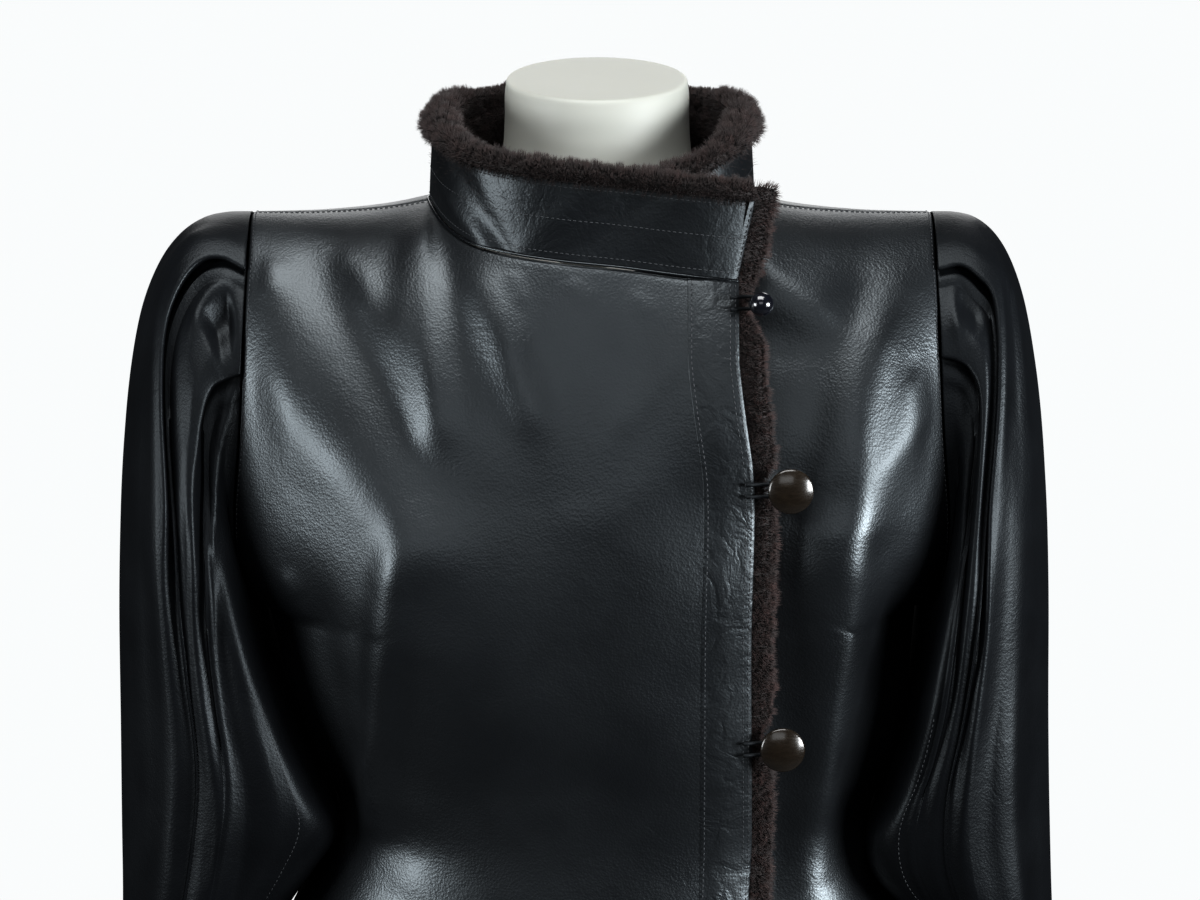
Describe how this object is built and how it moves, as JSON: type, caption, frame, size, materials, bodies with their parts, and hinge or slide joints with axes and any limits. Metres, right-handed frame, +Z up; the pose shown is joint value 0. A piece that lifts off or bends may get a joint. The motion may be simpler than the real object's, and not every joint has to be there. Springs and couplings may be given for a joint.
{
  "type": "fur-trimmed leather coat on a limbless dress form",
  "caption": "Knee-length leather wrap-front coat with fur-lined stand collar, pleated sleeve heads and side buttons, on a limbless dress form with a pole stand.",
  "frame": {"origin": "centre of the stand base's underside, on the floor", "axes": "+Z up along the stand, the coat's front towards -Y, +X to its wearer's left"},
  "size_m": [0.578, 0.4335, 1.4758],
  "materials": {
    "leather": "smooth dark leather, softly shining",
    "fur": "short sheared fur, dark brown",
    "horn": "polished dark horn",
    "ball": "polished blue-black",
    "satin": "smooth satin white",
    "steel": "satin paint"
  },
  "bodies": {
    "root": {"right_front": "leather", "left_front": "leather", "back": "leather", "sleeve_right": "leather", "sleeve_left": "leather", "collar": "leather", "front_band": "leather", "collar_fur": "fur", "front_fur": "fur", "ball_button": "ball", "button_1": "horn", "button_2": "horn", "button_3": "horn", "button_4": "horn", "loop_0": "leather", "loop_1": "leather", "loop_2": "leather", "loop_3": "leather", "loop_4": "leather", "form_torso": "satin", "stand_pole": "steel", "stand_base": "steel"}
  },
  "joints": []
}
